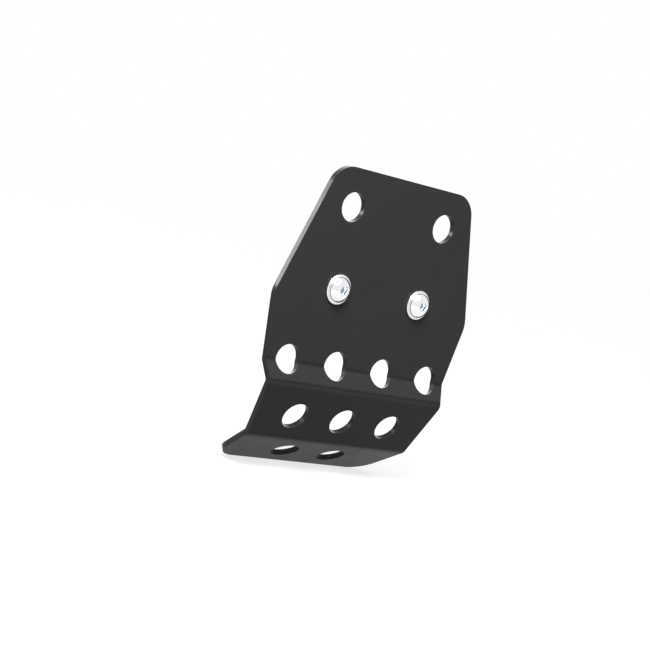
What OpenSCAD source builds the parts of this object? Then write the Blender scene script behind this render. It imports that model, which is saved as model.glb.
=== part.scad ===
// Folded engine guard for a motorcycle: one laser-cut sheet with three bends,
// held by two button-head screws on flat washers.
// The origin is midway between the screws, on the back face of the face panel.
// X runs across the guard, Y points back to the engine and Z points up.

/* [Sheet] */
// Thickness of the sheet
sheet_t = 4; // [3:0.5:5]
// Inside radius of the three bends
bend_r = 3; // [2.5:0.5:6]

/* [Side profile, along the front face] */
// Height of the top edge above the screws
face_rise = 81.3; // [70:0.1:100]
// Drop from the screws to the first bend
face_drop = 52.7; // [44:0.1:62]
// Length of the joggle, the short panel that steps forward
joggle_len = 16.1; // [14:0.1:22]
// Length of the shin, the panel below the joggle
shin_len = 42.8; // [36:0.2:52]
// Length of the toe, the panel that turns under the engine
toe_len = 41.4; // [36:0.2:50]
// Angle by which the joggle leans forward of the face
joggle_lean = 26.4; // [15:0.2:32]
// Angle by which the shin leans back from the face
shin_lean = 22.4; // [12:0.2:30]
// Angle by which the toe leans back from the face
toe_lean = 55.4; // [45:0.2:68]

/* [Outline of the flat sheet] */
// Half of the width at the top edge, corners left sharp
top_half_w = 62.8; // [56:0.1:72]
// Half of the width at the widest corners
wide_half_w = 90.2; // [84:0.1:110]
// Drop from the screws to the widest corners
wide_drop = 8.2; // [4:0.2:12]
// Half of the width at the rear edge of the toe, corners left sharp
rear_half_w = 67.7; // [60:0.1:78]
// Radius of the two top corners
top_corner_r = 18; // [8:1:24]
// Radius of the two widest corners
wide_corner_r = 20; // [15:1:40]
// Radius of the two rear corners
rear_corner_r = 17; // [12:1:23]

/* [Lightening holes] */
// Diameter of each lightening hole
hole_d = 20; // [14:0.5:24]
// Distance between neighbouring holes in a row
hole_pitch = 43.2; // [36:0.2:46]
// Height of the two top holes above the screws
top_hole_rise = 55.3; // [48:0.1:64]
// Distance from the centres of the upper row down to the first bend
upper_row_gap = 1.2; // [0:0.2:3]
// Drop from the second bend to the middle row
middle_row_drop = 23.9; // [20:0.1:28]
// Drop from the third bend to the lower row
lower_row_drop = 21.8; // [18:0.1:26]

/* [Screws and washers] */
// Distance between the two screws
screw_spacing = 75.6; // [60:0.1:91]
// Nominal diameter of the screws
screw_d = 9.525; // [8:0.025:10]
// How much thinner than the thread the plain neck is, which passes through washer and sheet
neck_relief = 1.025; // [0.5:0.025:1.5]
// Length of a screw under its head
screw_len = 25.4; // [20:0.1:40]
// Diameter of the domed head
head_d = 17.3; // [15.5:0.1:18]
// Height of the domed head
head_h = 5; // [4.5:0.1:6]
// Height of the straight rim below the dome
rim_h = 1.3; // [0.5:0.1:1.6]
// Width across the flats of the hexagon socket
socket_af = 5.56; // [5:0.01:6.5]
// Depth of the hexagon socket
socket_depth = 3.2; // [2.5:0.1:3.4]
// Outer diameter of a washer
washer_od = 20.6; // [19.5:0.1:24]
// Thickness of a washer
washer_t = 1.65; // [1.5:0.05:2.5]
// Gap between the screw and the washer's bore, on the diameter
washer_gap = 0.775; // [0.3:0.025:1]
// Gap between the screw and the hole in the sheet, on the diameter
screw_gap = 1; // [0.5:0.1:2]

/* [Hidden] */
$fn = 96;

FACE = 0;
JOGGLE = 1;
SHIN = 2;
TOE = 3;
LEFT = -1;
RIGHT = 1;

// Lean of each panel from the face, positive towards the engine
lean = [0, -joggle_lean, shin_lean, toe_lean];
// Length of each panel below its first fold line, along the front face
panel_len = [face_drop, joggle_len, shin_len, toe_len];
// Length of sheet from the screws down to the first fold line of each panel
panel_drop = [0, face_drop, face_drop + joggle_len, face_drop + joggle_len + shin_len];
flat_len = panel_drop[TOE] + toe_len;

// First fold line of each panel on the front face, as [y, z]
fold_face = [-sheet_t, 0];
fold_joggle = step_down(fold_face, FACE);
fold_shin = step_down(fold_joggle, JOGGLE);
fold_toe = step_down(fold_shin, SHIN);
fold = [fold_face, fold_joggle, fold_shin, fold_toe];

// Wider than the sheet, and longer than any cut through it
reach = 4 * wide_half_w;
// Sheet left beyond an edge before the outline trims it
spare = 5;
// Arcs are this much larger, so that they cross the flats instead of grazing them
proud = 0.001;
// Pieces that share a bend overlap past its middle by this much
lap = 0.2;
screw_hole_d = screw_d + screw_gap;
neck_d = screw_d - neck_relief;
screw_chamfer = 1;
washer_bevel = 0.4;
socket_cone_h = 1;
// Radius of the flat crown left round the socket at the top of the dome
crown_r = socket_af * 0.72;

function step_down(start, panel) = start + panel_len[panel] * down(panel);

// Directions in the side view, as [y, z]: down a panel, and through it to the back
function down(panel) = [sin(lean[panel]), -cos(lean[panel])];
function inward(panel) = [cos(lean[panel]), sin(lean[panel])];

// Turn of the bend that leads from a panel to the next one
function turn(panel) = lean[panel + 1] - lean[panel];

// Direction that halves a bend, from the front face to the back face
function halving(panel) = unit(inward(panel) + inward(panel + 1));

// Distance from the fold line to where the bend meets the flat, on the front face
function setback(panel) =
    (bend_r + (turn(panel) > 0 ? sheet_t : 0)) * tan(abs(turn(panel)) / 2);

// Corner of the unrounded section below a panel, at a depth into the sheet
function corner(panel, depth) =
    fold[panel + 1] + halving(panel) * depth / cos(turn(panel) / 2);

// Half of the width of the flat sheet at a distance below the screws
function half_width(drop) =
    wide_half_w + (rear_half_w - wide_half_w) * (drop - wide_drop) / (flat_len - wide_drop);

// Half of the width that a bend keeps from one flat to the other, to a tenth
function bend_half_width(bend) = round(10 * half_width(panel_drop[bend + 1])) / 10;

function unit(v) = v / norm(v);

// Distance from a corner to the ends of an arc of radius r that rounds it
function tangent_len(before, corner, after, r) =
    let (a = unit(before - corner), b = unit(after - corner))
    r / tan(acos(a * b) / 2);

// Centre of the arc of radius r that rounds a corner
function arc_centre(before, corner, after, r) =
    let (a = unit(before - corner), b = unit(after - corner))
    corner + unit(a + b) * r / sin(acos(a * b) / 2);

// Outline whose convex corners are rounded, each by its own radius, 0 for sharp
module rounded_outline(points, radii) {
    n = len(points);
    ends = [for (i = [0 : n - 1])
        let (before = points[(i + n - 1) % n], corner = points[i], after = points[(i + 1) % n])
        radii[i] == 0 ? [corner] :
        let (cut = tangent_len(before, corner, after, radii[i]))
        [corner + unit(before - corner) * cut, corner + unit(after - corner) * cut]];
    polygon([for (pair = ends) each pair]);
    for (i = [0 : n - 1])
        if (radii[i] > 0)
            translate(arc_centre(points[(i + n - 1) % n], points[i], points[(i + 1) % n], radii[i]))
                circle(r = radii[i] + proud);
}

// Puts children in a panel's own frame: x across, z up the panel, y into the sheet
module on_panel(panel) {
    translate([0, fold[panel][0], fold[panel][1]])
        rotate([lean[panel], 0, 0])
            children();
}

// Centre of a bend's arcs in the side view
function bend_centre(bend) = corner(bend, turn(bend) > 0 ? sheet_t + bend_r : -bend_r);

// Direction from a bend's centre to the middle of the end it shares with a panel
function spoke(bend, panel) = (turn(bend) > 0 ? -1 : 1) * inward(panel);

// Ends of the inner arc of a bend, the upper and then the lower
function inner_ends(bend) =
    [for (panel = [bend, bend + 1]) bend_centre(bend) + bend_r * spoke(bend, panel)];

// Side view with sharp outer corners, and inner corners filled straight across
module filled_section() {
    top = [-sheet_t, face_rise + spare];
    rear = fold_toe + (toe_len + spare) * down(TOE);
    joggle_in = inner_ends(FACE);
    shin_in = inner_ends(JOGGLE);
    toe_in = inner_ends(SHIN);
    polygon([top, joggle_in[0], joggle_in[1], fold_shin, fold_toe, rear,
             rear + sheet_t * inward(TOE), toe_in[1], toe_in[0], shin_in[1], shin_in[0],
             corner(FACE, sheet_t), top + [sheet_t, 0]]);
}

// Turns a side view into a solid across the guard
module across() {
    rotate([90, 0, 90])
        linear_extrude(height = reach, center = true)
            children();
}

// Round bar along the axis of a bend
module bar(bend, r) {
    centre = bend_centre(bend);
    translate([0, centre[0], centre[1]])
        rotate([0, 90, 0])
            cylinder(r = r, h = 1.5 * reach, center = true);
}

// The sharp outer corner of a bend, down to its outer arc
module outer_corner(bend) {
    centre = bend_centre(bend);
    far = bend_r + 2 * sheet_t;
    difference() {
        across()
            polygon([centre, centre + far * spoke(bend, bend),
                     corner(bend, turn(bend) > 0 ? -sheet_t : 2 * sheet_t),
                     centre + far * spoke(bend, bend + 1)]);
        bar(bend, bend_r + sheet_t + proud);
    }
}

// The folded sheet before its outline is cut
module folded() {
    difference() {
        across()
            filled_section();
        for (bend = [FACE, JOGGLE, SHIN]) {
            bar(bend, bend_r + proud);
            outer_corner(bend);
        }
    }
}

// Point on the line from a to b, at a distance beyond b
function beyond(a, b, distance) = b + unit(b - a) * distance;

// Right side of a panel's outline in its own frame, from the foot up
function right_side(panel) =
    let (over = 2 * sheet_t,
         head = panel == FACE ? [wide_half_w, -wide_drop]
                              : [bend_half_width(panel - 1), -setback(panel - 1)],
         foot = panel == TOE ? [rear_half_w, -toe_len]
                             : [bend_half_width(panel), setback(panel) - panel_len[panel]])
    panel == FACE ? [beyond(head, foot, over), head, [top_half_w, face_rise]] :
    panel == TOE ? [foot, beyond(foot, head, over)] :
    [beyond(head, foot, over), beyond(foot, head, over)];

// Radii of the corners that right_side lists
function right_radii(panel) =
    panel == FACE ? [0, wide_corner_r, top_corner_r] :
    panel == TOE ? [rear_corner_r, 0] : [0, 0];

// Whole outline of a panel, its straight sides running on through the bends
module outline(panel) {
    right = right_side(panel);
    radii = right_radii(panel);
    last = len(right) - 1;
    rounded_outline(
        concat(right, [for (i = [last : -1 : 0]) [-right[i][0], right[i][1]]]),
        concat(radii, [for (i = [last : -1 : 0]) radii[i]]));
}

// Everything above or below the end of a panel where its lower bend starts, and a little more
module end_of_flat(panel, above) {
    on_panel(panel)
        translate([-reach / 2, -reach / 2, setback(panel) - panel_len[panel]])
            translate([0, 0, above ? -lap : lap - reach])
                cube(reach);
}

// Room for a panel and the bend above it, with its outline cut square to the panel
module room_for(panel) {
    depth = 8 * sheet_t;
    intersection() {
        on_panel(panel)
            translate([0, (sheet_t + depth) / 2, 0])
                rotate([90, 0, 0])
                    linear_extrude(height = depth)
                        outline(panel);
        if (panel > FACE)
            cube([2 * bend_half_width(panel - 1), 2 * reach, 2 * reach], center = true);
        if (panel > FACE)
            end_of_flat(panel - 1, false);
        if (panel < TOE)
            end_of_flat(panel, true);
    }
}

// A round cutter through a panel, at x and at a height in the panel's frame
module cutter(panel, x, z, d) {
    on_panel(panel)
        translate([x, sheet_t / 2, z])
            rotate([90, 0, 0])
                cylinder(d = d, h = 4 * sheet_t, center = true);
}

// One side of a plane that halves a bend, and a little of the other side
module half_space(bend, above) {
    rotate([turn(bend) / 2, 0, 0])
        translate([-reach / 2, -reach / 2, above ? -lap : lap - reach])
            cube(reach);
}

// A hole that was cut in the flat sheet and then folded by the first bend
module hole_across_first_bend(x) {
    // The two cylinders cross just in front of the sheet, so they meet without a step
    translate([x, -sheet_t - lap / 2, upper_row_gap - face_drop])
        for (panel = [FACE, JOGGLE])
            intersection() {
                rotate([90 + lean[panel], 0, 0])
                    cylinder(d = hole_d, h = 8 * sheet_t, center = true);
                half_space(FACE, panel == FACE);
            }
}

// Lightening holes: two at the top, then rows of four, three and two
module lightening_holes() {
    for (side = [LEFT, RIGHT])
        cutter(FACE, side * hole_pitch, top_hole_rise, hole_d);
    for (i = [-1.5 : 1 : 1.5])
        hole_across_first_bend(i * hole_pitch);
    for (i = [-1 : 1])
        cutter(SHIN, i * hole_pitch, -middle_row_drop, hole_d);
    for (i = [-0.5 : 1 : 0.5])
        cutter(TOE, i * hole_pitch, -lower_row_drop, hole_d);
}

module guard_plate() {
    color([0.10, 0.10, 0.105])
        difference() {
            for (panel = [FACE, JOGGLE, SHIN, TOE])
                intersection() {
                    folded();
                    room_for(panel);
                }
            lightening_holes();
            for (side = [LEFT, RIGHT])
                cutter(FACE, side * screw_spacing / 2, 0, screw_hole_d);
        }
}

// Puts children at a screw, with z along the screw and out of the front face
module at_screw(side) {
    translate([side * screw_spacing / 2, -sheet_t, 0])
        rotate([90, 0, 0])
            children();
}

// Flat washer with a small bevel round its outer edge on the side that shows
module washer(side) {
    color([0.82, 0.83, 0.85])
        at_screw(side)
            difference() {
                union() {
                    cylinder(d = washer_od, h = washer_t - washer_bevel);
                    translate([0, 0, washer_t - washer_bevel])
                        cylinder(d1 = washer_od, d2 = washer_od - 2 * washer_bevel, h = washer_bevel);
                }
                translate([0, 0, -washer_t])
                    cylinder(d = screw_d + washer_gap, h = 3 * washer_t);
            }
}

// Profile of the head: a straight rim, a dome and a small flat crown
module dome() {
    dome_h = head_h - rim_h;
    rim_r = head_d / 2;
    // The arc meets the rim at its top and the crown at its edge
    centre_z = (dome_h ^ 2 + crown_r ^ 2 - rim_r ^ 2) / (2 * dome_h);
    dome_r = sqrt(rim_r ^ 2 + centre_z ^ 2);
    cylinder(r = rim_r, h = rim_h);
    translate([0, 0, rim_h])
        intersection() {
            translate([0, 0, centre_z])
                sphere(r = dome_r);
            cylinder(r = rim_r, h = dome_h);
        }
}

// Hexagon socket with the cone that a broach leaves at its bottom
module socket() {
    corner_r = socket_af / sqrt(3);
    translate([0, 0, head_h - socket_depth])
        rotate([0, 0, 30])
            cylinder(r = corner_r, h = socket_depth + 1, $fn = 6);
    translate([0, 0, head_h - socket_depth - socket_cone_h])
        cylinder(r1 = 0.3, r2 = socket_af / 2, h = socket_cone_h + 0.01);
}

// Button-head screw: its head sits on the washer and its shank ends behind the sheet
module screw(side) {
    shank_r = screw_d / 2;
    // The thread starts at the back face of the sheet
    neck_len = washer_t + sheet_t;
    color([0.86, 0.87, 0.89])
        at_screw(side)
            translate([0, 0, washer_t]) {
                difference() {
                    dome();
                    socket();
                }
                translate([0, 0, -neck_len])
                    cylinder(d = neck_d, h = neck_len + rim_h / 2);
                translate([0, 0, screw_chamfer - screw_len])
                    cylinder(r = shank_r, h = screw_len - screw_chamfer - neck_len);
                translate([0, 0, -screw_len])
                    cylinder(r1 = shank_r - screw_chamfer, r2 = shank_r, h = screw_chamfer);
            }
}

module screw_left() {
    screw(LEFT);
}

module screw_right() {
    screw(RIGHT);
}

module washer_left() {
    washer(LEFT);
}

module washer_right() {
    washer(RIGHT);
}

guard_plate();
screw_left();
screw_right();
washer_left();
washer_right();
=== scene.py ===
# Looks for a folded engine guard: one coated sheet, two button-head screws and their washers.
# Lengths are in metres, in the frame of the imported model.
import math

import bmesh
import bpy
from mathutils import Matrix, Vector

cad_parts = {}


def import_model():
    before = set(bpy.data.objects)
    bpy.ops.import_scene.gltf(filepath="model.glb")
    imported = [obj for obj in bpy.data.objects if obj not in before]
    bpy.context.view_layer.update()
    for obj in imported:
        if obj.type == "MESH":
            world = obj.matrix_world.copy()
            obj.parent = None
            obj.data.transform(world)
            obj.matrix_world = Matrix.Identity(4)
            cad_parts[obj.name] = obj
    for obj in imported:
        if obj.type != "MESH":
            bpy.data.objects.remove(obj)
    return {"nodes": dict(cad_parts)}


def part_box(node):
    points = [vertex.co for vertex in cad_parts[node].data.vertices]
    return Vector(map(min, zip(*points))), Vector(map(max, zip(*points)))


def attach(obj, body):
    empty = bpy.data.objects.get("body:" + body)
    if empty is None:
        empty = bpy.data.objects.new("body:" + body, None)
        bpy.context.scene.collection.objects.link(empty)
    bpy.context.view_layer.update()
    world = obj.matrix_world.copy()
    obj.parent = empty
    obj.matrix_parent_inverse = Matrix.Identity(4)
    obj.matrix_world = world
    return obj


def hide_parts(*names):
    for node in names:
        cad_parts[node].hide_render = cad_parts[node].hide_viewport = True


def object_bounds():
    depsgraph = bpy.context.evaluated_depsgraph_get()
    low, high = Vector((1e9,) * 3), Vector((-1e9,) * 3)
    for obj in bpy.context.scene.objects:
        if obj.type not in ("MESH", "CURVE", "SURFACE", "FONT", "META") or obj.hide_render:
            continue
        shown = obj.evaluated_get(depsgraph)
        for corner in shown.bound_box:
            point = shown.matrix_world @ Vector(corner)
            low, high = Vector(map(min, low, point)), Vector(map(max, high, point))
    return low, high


MM = 0.001
TAU = 2 * math.pi

# The photograph's camera
PICTURE_PX = 650
FOCAL_PX = 1728.4
SENSOR = 36.0
CAMERA_PLACE = Vector((-0.8094, -0.8499, 0.0832))
# Point of the face panel at the middle of the picture
CAMERA_AIM = Vector((-0.0405, -0.0040, -0.0251))
CAMERA_ROLL = math.radians(15.1)

# Sizes of a screw's head and socket that its box doesn't give
RIM_H = 1.3 * MM
RIM_ROUND = 0.3 * MM
SHOULDER = 0.3 * RIM_ROUND
SOCKET_AF = 5.56 * MM
SOCKET_DEPTH = 3.2 * MM
SOCKET_CONE_R = SOCKET_AF / 2 * 0.9
SOCKET_CONE_H = 1.0 * MM
SOCKET_CHAMFER = 0.2 * MM
CROWN_R = 0.72 * SOCKET_AF

# Its shank, with flat crests and roots that take these shares of the pitch
SHANK_R = 4.7625 * MM
NECK_R = 4.25 * MM
THREAD_PITCH = 25.4 / 16 * MM
THREAD_DEPTH = 0.92 * MM
CREST_SHARE = 1 / 8
ROOT_SHARE = 1 / 4
THREAD_START_Y = 0.0
TIP_CHAMFER = 1.0 * MM

# How finely a screw is divided
SIDES = 96
DOME_RINGS = 14
RIM_STEPS = 3
ROWS_PER_PITCH = 16
SHARP_DEGREES = 28

# Rounding of the cut edges
SHEET_EDGE_R = 0.35 * MM
WASHER_EDGE_R = 0.12 * MM
EDGE_SEGMENTS = 3
EDGE_DEGREES = 40
WELD_GAP = 0.001 * MM

# Lines across the sheet as (y, z) in the side view, and how far each reaches:
# the crease of the first bend, darkened as painted shade; a darker line just above the second bend; and the
# third bend just past its fold
PAINTED_CREASE_SHADE, PAINTED_CREASE_SHADE_REACH = (-4.0 * MM, -52.7 * MM), 2.2 * MM
LINE_ABOVE_BEND_2, LINE_ABOVE_BEND_2_REACH = (-10.25 * MM, -65.3 * MM), 1.8 * MM
BEND_3, BEND_3_REACH = (6.9 * MM, -107.9 * MM), 6 * MM

# Powder coat: the ranges of its colour, roughness and specular level, and the height of its relief
COAT_DARK = (0.026, 0.026, 0.027)
COAT_PALE = (0.0315, 0.0315, 0.0325)
COAT_ROUGHNESS = (0.27, 0.34)
COAT_SPECULAR = 0.076
BEND_3_SPECULAR = 0.042
# How much the lines darken the coat; along the first bend's crease this darkening is painted shade
LINE_DARKENING = 0.45
PATCH_SCALE = 28
GLOSS_SCALE = 60
PEEL_SCALE, PEEL_H = 900, 0.03 * MM
GRAIN_SCALE, GRAIN_H = 5200, 0.006 * MM

# Plated steel
SCREW_COLOUR = (0.86, 0.87, 0.89)
# The socket's plating, painted darker and bluish: painted shade and a painted reflection in the recess
SOCKET_SHADED_COLOUR = (0.62, 0.70, 0.78)
WASHER_COLOUR = (0.82, 0.83, 0.85)
MOTTLE_SCALE = 160
POLISH_SCALE = 420
PLATE_GRAIN_SCALE = 2600

# Floor and surroundings
FLOOR_HALF = 6.0
FLOOR_COLOUR = (0.2, 0.2, 0.2)
FLOOR_GLOW = 0.765
FLOOR_ROUGHNESS = 0.9
SKY_LIGHT = 0.13

# Suns: direction towards the light, spread in degrees, level
KEY_SUN = (-0.3, -0.38, 0.875), 50, 0.81
FILL_SUN = (0.45, 0.8, 0.4), 60, 0.8
# Lamps: place, target, side of the square, power
SOFTBOX = (-0.42, -0.42, 0.62), (-0.02, 0, -0.03), 0.35, 8.6
EDGE_LAMP = (-0.95, 1.05, 0.47), (0, 0, 0.02), 0.4, 27


# Materials

def looked_at(tree):
    """1 for rays from the camera and for reflected or refracted ones, 0 for diffuse light."""
    paths = tree.nodes.new("ShaderNodeLightPath")
    seen = paths.outputs["Is Camera Ray"]
    for ray in ("Is Glossy Ray", "Is Transmission Ray"):
        either = tree.nodes.new("ShaderNodeMath")
        either.operation = "MAXIMUM"
        tree.links.new(seen, either.inputs[0])
        tree.links.new(paths.outputs[ray], either.inputs[1])
        seen = either.outputs[0]
    return seen


class Nodes:
    """Short calls for building one material's node tree."""

    def __init__(self, name):
        self.material = bpy.data.materials.new(name)
        self.material.use_nodes = True
        self.tree = self.material.node_tree
        self.shader = self.tree.nodes["Principled BSDF"]

    def add(self, kind, **inputs):
        node = self.tree.nodes.new(kind)
        for label, value in inputs.items():
            node.inputs[label.replace("_", " ")].default_value = value
        return node

    def link(self, source, target):
        self.tree.links.new(source, target)

    def set(self, **inputs):
        for label, value in inputs.items():
            self.shader.inputs[label.replace("_", " ")].default_value = value

    def drive(self, label, source):
        """Feeds one of the shader's sockets."""
        self.link(source, self.shader.inputs[label])

    def object_place(self):
        return self.tree.nodes.new("ShaderNodeTexCoord").outputs["Object"]

    def noise(self, scale, detail=2.0, roughness=0.5):
        """Noise that is fixed to the object's own coordinates."""
        noise = self.add("ShaderNodeTexNoise", Scale=scale, Detail=detail, Roughness=roughness)
        self.link(self.object_place(), noise.inputs["Vector"])
        return noise.outputs["Fac"]

    def remap(self, value, low, high, start=0.3, end=0.7, curve="LINEAR"):
        """Stretches a value from start..end to low..high."""
        node = self.add("ShaderNodeMapRange", From_Min=start, From_Max=end, To_Min=low, To_Max=high)
        node.interpolation_type = curve
        self.link(value, node.inputs["Value"])
        return node.outputs["Result"]

    def blend(self, factor, first, second):
        """Colour between first and second."""
        node = self.tree.nodes.new("ShaderNodeMix")
        node.data_type = "RGBA"
        node.inputs["A"].default_value = (*first, 1)
        node.inputs["B"].default_value = (*second, 1)
        self.link(factor, node.inputs["Factor"])
        return node.outputs["Result"]

    def vector_math(self, operation, first, second=None):
        node = self.tree.nodes.new("ShaderNodeVectorMath")
        node.operation = operation
        self.link(first, node.inputs[0])
        if second is not None:
            node.inputs[1].default_value = second
        return node

    def near_line(self, line, reach):
        """1 on a line that runs along X through (y, z), falling to 0 at reach from it."""
        in_side_view = self.vector_math("MULTIPLY", self.object_place(), (0, 1, 1))
        distance = self.vector_math("DISTANCE", in_side_view.outputs["Vector"], (0, *line))
        return self.remap(distance.outputs["Value"], 1, 0, start=0, end=reach, curve="SMOOTHSTEP")

    def darken(self, colour, where, amount):
        """Colour that loses a share of its brightness where a value is 1."""
        node = self.vector_math("SCALE", colour)
        self.link(self.remap(where, 1, 1 - amount, start=0, end=1), node.inputs["Scale"])
        return node.outputs["Vector"]

    def bump(self, height, distance, under=None):
        node = self.add("ShaderNodeBump", Distance=distance)
        self.link(height, node.inputs["Height"])
        if under is not None:
            self.link(under, node.inputs["Normal"])
        return node.outputs["Normal"]


def black_coat():
    """Satin powder coat: fine orange peel, slight changes of colour and gloss, painted shade along the
    crease of the first bend, a darker line above the second bend and a weaker reflection past the third.
    """
    coat = Nodes("black_coat")
    coat.set(Metallic=0.0)
    colour = coat.blend(coat.noise(PATCH_SCALE, detail=4, roughness=0.6), COAT_DARK, COAT_PALE)
    # Painted shade along the crease of the first bend
    colour = coat.darken(colour, coat.near_line(PAINTED_CREASE_SHADE, PAINTED_CREASE_SHADE_REACH), LINE_DARKENING)
    # A darker line just above the second bend
    colour = coat.darken(colour, coat.near_line(LINE_ABOVE_BEND_2, LINE_ABOVE_BEND_2_REACH), LINE_DARKENING)
    coat.drive("Base Color", colour)
    over_bend = coat.near_line(BEND_3, BEND_3_REACH)
    coat.drive("Specular IOR Level", coat.remap(over_bend, COAT_SPECULAR, BEND_3_SPECULAR, start=0, end=1))
    coat.drive("Roughness", coat.remap(coat.noise(GLOSS_SCALE, detail=3), *COAT_ROUGHNESS))
    peel = coat.bump(coat.noise(PEEL_SCALE, detail=2), PEEL_H)
    coat.drive("Normal", coat.bump(coat.noise(GRAIN_SCALE, detail=1), GRAIN_H, under=peel))
    return coat.material


def plated(name, colour, roughness, grain, dull=0.93):
    """Bright plated steel with faint mottling."""
    plate = Nodes(name)
    plate.set(Metallic=1.0)
    darker = tuple(dull * c for c in colour)
    mottle = plate.noise(MOTTLE_SCALE, detail=5, roughness=0.65)
    plate.drive("Base Color", plate.blend(mottle, darker, colour))
    polish = plate.noise(POLISH_SCALE, detail=4)
    plate.drive("Roughness", plate.remap(polish, roughness * 0.8, roughness * 1.3))
    plate.drive("Normal", plate.bump(plate.noise(PLATE_GRAIN_SCALE, detail=3), grain))
    return plate.material


def background(name, colour, glow):
    """Pale matt surface that the camera and reflections see lighter, with its shadows kept."""
    paper = Nodes(name)
    paper.set(Base_Color=(*colour, 1), Roughness=FLOOR_ROUGHNESS, Specular_IOR_Level=0.0,
              Emission_Color=(1, 1, 1, 1))
    paper.drive("Emission Strength", paper.remap(looked_at(paper.tree), 0, glow, start=0, end=1))
    return paper.material


# Shapes

def skin(name, rings, first, last):
    """Closed mesh through rings of points, shut by a point at each end."""
    count = len(rings[0])
    points = [first] + [point for ring in rings for point in ring] + [last]
    faces = []
    for j in range(count):
        k = (j + 1) % count
        faces.append((0, 1 + k, 1 + j))
        for i in range(len(rings) - 1):
            upper = 1 + i * count
            lower = upper + count
            faces.append((upper + j, upper + k, lower + k, lower + j))
        end = 1 + (len(rings) - 1) * count
        faces.append((end + j, end + k, len(points) - 1))
    mesh = bpy.data.meshes.new(name)
    mesh.from_pydata(points, [], faces)
    work = bmesh.new()
    work.from_mesh(mesh)
    bmesh.ops.recalc_face_normals(work, faces=work.faces)
    work.to_mesh(mesh)
    work.free()
    obj = bpy.data.objects.new(name, mesh)
    bpy.context.scene.collection.objects.link(obj)
    return obj


def shade_smooth(mesh):
    mesh.polygons.foreach_set("use_smooth", [True] * len(mesh.polygons))


def hexagon_r(angle):
    """Distance from a socket's axis to its wall, at an angle round the axis."""
    sixth = TAU / 6
    return SOCKET_AF / 2 / math.cos(angle % sixth - sixth / 2)


def thread_r(y, angle):
    """Radius of the thread: flat crests, flat roots and straight flanks between."""
    turn = (y / THREAD_PITCH - angle / TAU) % 1
    from_crest = abs(turn - 1 / 2)
    root_edge = (1 - ROOT_SHARE) / 2
    rise = min(1, max(0, (root_edge - from_crest) / (root_edge - CREST_SHARE / 2)))
    full = SHANK_R - THREAD_DEPTH * (1 - rise)
    run_out = min(1, (y - THREAD_START_Y) / (THREAD_PITCH / 2))
    return NECK_R + (full - NECK_R) * run_out


def screw(name, cad_node, plate, socket_shaded_plate):
    """Button-head screw along +Y, with a rounded rim, a hexagon socket and a thread."""
    low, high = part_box(cad_node)
    centre_x = (low.x + high.x) / 2
    centre_z = (low.z + high.z) / 2
    head_r = (high.x - low.x) / 2
    washer_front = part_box(cad_node.replace("screw", "washer"))[0].y
    crown_y, seat_y, tip_y = low.y, washer_front, high.y
    rim_y = seat_y - RIM_H
    floor_y = crown_y + SOCKET_DEPTH
    angles = [TAU * j / SIDES for j in range(SIDES)]
    rings = []

    def ring(radius, y):
        radii = [radius(a) if callable(radius) else radius for a in angles]
        rings.append([(centre_x + r * math.cos(a), y, centre_z + r * math.sin(a))
                      for r, a in zip(radii, angles)])

    # Socket, from its floor to its chamfered mouth
    ring(SOCKET_CONE_R, floor_y)
    ring(hexagon_r, floor_y)
    ring(hexagon_r, crown_y + SOCKET_CHAMFER)
    ring(lambda a: hexagon_r(a) + SOCKET_CHAMFER, crown_y)
    # Dome from the crown to the rim, as an arc through both
    dome_h = rim_y - crown_y
    arc_z = (dome_h ** 2 + CROWN_R ** 2 - head_r ** 2) / (2 * dome_h)
    arc_r = math.hypot(head_r, arc_z)
    start = math.asin(CROWN_R / arc_r)
    end = math.atan2(head_r, -arc_z)
    for i in range(DOME_RINGS):
        tilt = start + (end - start) * i / DOME_RINGS
        ring(arc_r * math.sin(tilt), rim_y - arc_z - arc_r * math.cos(tilt))
    # Rim with a round at either end
    ring(head_r - SHOULDER, rim_y - SHOULDER)
    ring(head_r, rim_y + RIM_ROUND)
    for i in range(RIM_STEPS + 1):
        tilt = TAU / 4 * i / RIM_STEPS
        ring(head_r - RIM_ROUND * (1 - math.cos(tilt)), seat_y - RIM_ROUND * (1 - math.sin(tilt)))
    # Neck, and the thread from it to the chamfered tip
    ring(NECK_R, seat_y)
    ring(NECK_R, THREAD_START_Y)
    thread_len = tip_y - THREAD_START_Y
    rows = int(thread_len / (THREAD_PITCH / ROWS_PER_PITCH))
    for i in range(1, rows + 1):
        y = THREAD_START_Y + thread_len * i / rows
        limit = SHANK_R - TIP_CHAMFER + (tip_y - y)
        ring(lambda a: min(limit, thread_r(y, a)), y)

    piece = skin(name, rings, (centre_x, floor_y + SOCKET_CONE_H, centre_z), (centre_x, tip_y, centre_z))
    shade_smooth(piece.data)
    piece.data.set_sharp_from_angle(angle=math.radians(SHARP_DEGREES))
    piece.data.materials.append(plate)
    piece.data.materials.append(socket_shaded_plate)
    # Faces inside the socket get the copy of the plating painted with shade and a bluish reflection
    for face in piece.data.polygons:
        from_axis = math.hypot(face.center.x - centre_x, face.center.z - centre_z)
        in_depth = crown_y + SOCKET_CHAMFER < face.center.y < floor_y + SOCKET_CONE_H
        face.material_index = int(in_depth and from_axis < SOCKET_AF / math.sqrt(3))
    return piece


def soften(node, radius):
    """Rounds the cut edges of a CAD node. Flats shade flat, and the bends and rounds between them smooth."""
    weld = node.modifiers.new("weld", "WELD")
    weld.merge_threshold = WELD_GAP
    bevel = node.modifiers.new("edges", "BEVEL")
    bevel.width = radius
    bevel.segments = EDGE_SEGMENTS
    bevel.limit_method = "ANGLE"
    bevel.angle_limit = math.radians(EDGE_DEGREES)
    bevel.use_clamp_overlap = True
    shade_smooth(node.data)
    normals = node.modifiers.new("normals", "WEIGHTED_NORMAL")
    normals.mode = "FACE_AREA"
    normals.weight = 100
    normals.keep_sharp = False


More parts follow.
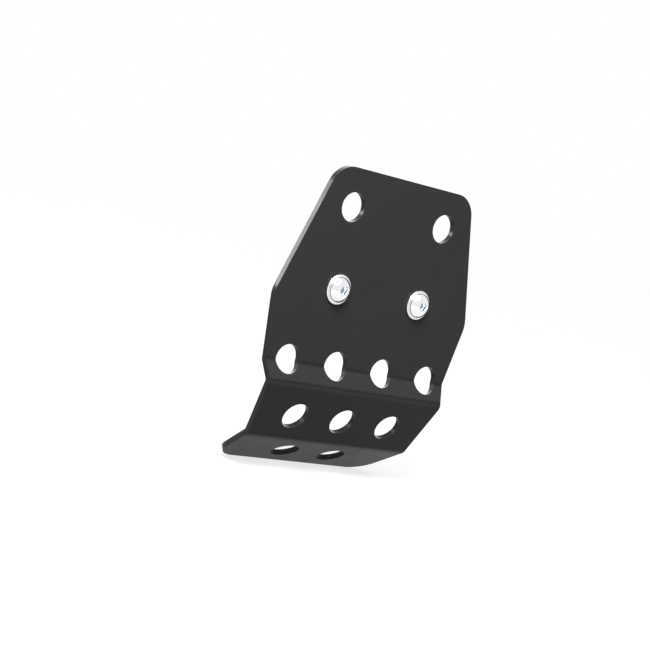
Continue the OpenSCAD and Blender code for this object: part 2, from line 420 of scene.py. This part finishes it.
def paint(obj, material):
    obj.data.materials.clear()
    obj.data.materials.append(material)


# Stage, lamps and camera

def sun(name, towards, spread_degrees, level):
    """Even soft light from one side. Level 1 shows a surface that faces it in its own colour."""
    data = bpy.data.lights.new(name, "SUN")
    data.angle = math.radians(spread_degrees)
    data.energy = level * math.pi
    obj = bpy.data.objects.new(name, data)
    obj.rotation_euler = Vector(towards).to_track_quat("Z", "Y").to_euler()
    bpy.context.scene.collection.objects.link(obj)


def lamp(name, place, target, size, power):
    """Square soft lamp at a place, facing a target, which the camera doesn't see."""
    data = bpy.data.lights.new(name, "AREA")
    data.shape = "SQUARE"
    data.size = size
    data.energy = power
    obj = bpy.data.objects.new(name, data)
    obj.location = place
    obj.rotation_euler = (Vector(target) - Vector(place)).to_track_quat("-Z", "Y").to_euler()
    obj.visible_camera = False
    bpy.context.scene.collection.objects.link(obj)
    return obj


def floor_plane(level):
    mesh = bpy.data.meshes.new("floor")
    corners = [(x * FLOOR_HALF, y * FLOOR_HALF, level) for x, y in ((-1, -1), (1, -1), (1, 1), (-1, 1))]
    mesh.from_pydata(corners, [], [(0, 1, 2, 3)])
    obj = bpy.data.objects.new("floor", mesh)
    bpy.context.scene.collection.objects.link(obj)
    return obj


def world(diffuse_strength):
    """White to the camera and in reflections, dimmer as light on the object."""
    surroundings = bpy.data.worlds.new("surroundings")
    surroundings.use_nodes = True
    bpy.context.scene.world = surroundings
    tree = surroundings.node_tree
    shader = tree.nodes["Background"]
    shader.inputs["Color"].default_value = (1, 1, 1, 1)
    strength = tree.nodes.new("ShaderNodeMapRange")
    strength.inputs["To Min"].default_value = diffuse_strength
    strength.inputs["To Max"].default_value = 1.0
    tree.links.new(looked_at(tree), strength.inputs["Value"])
    tree.links.new(strength.outputs["Result"], shader.inputs["Strength"])


def camera():
    data = bpy.data.cameras.new("camera")
    data.sensor_width = SENSOR
    data.lens = FOCAL_PX / PICTURE_PX * SENSOR
    data.clip_start = 0.01
    obj = bpy.data.objects.new("camera", data)
    upright = (CAMERA_AIM - CAMERA_PLACE).to_track_quat("-Z", "Y").to_matrix().to_4x4()
    obj.matrix_world = Matrix.Translation(CAMERA_PLACE) @ upright @ Matrix.Rotation(CAMERA_ROLL, 4, "Z")
    bpy.context.scene.collection.objects.link(obj)
    bpy.context.scene.camera = obj


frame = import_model()
cad_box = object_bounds()
nodes = frame["nodes"]

coat = black_coat()
screw_plate = plated("plated_screw", SCREW_COLOUR, roughness=0.12, grain=0.004 * MM)
# A darker, bluish copy of the plating for the socket: painted shade and a painted reflection
socket_shaded_plate = plated("plated_socket_painted_shade", SOCKET_SHADED_COLOUR, roughness=0.16, grain=0.006 * MM, dull=0.5)
washer_plate = plated("plated_washer", WASHER_COLOUR, roughness=0.26, grain=0.008 * MM)

guard = nodes["guard_plate"]
paint(guard, coat)
soften(guard, SHEET_EDGE_R)

for side in ("left", "right"):
    washer = nodes["washer_" + side]
    paint(washer, washer_plate)
    soften(washer, WASHER_EDGE_R)
    fastener = screw("button_screw_" + side, "screw_" + side, screw_plate, socket_shaded_plate)
    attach(fastener, "root")
    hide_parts("screw_" + side)

floor = floor_plane(cad_box[0][2])
paint(floor, background("floor", FLOOR_COLOUR, FLOOR_GLOW))
world(SKY_LIGHT)
sun("key", *KEY_SUN)
sun("fill", *FILL_SUN)
lamp("softbox", *SOFTBOX)
# Brightens the cut edges by reflection alone
edge_lamp = lamp("edge", *EDGE_LAMP)
edge_lamp.visible_diffuse = False
camera()

bpy.context.scene.view_settings.view_transform = "Standard"
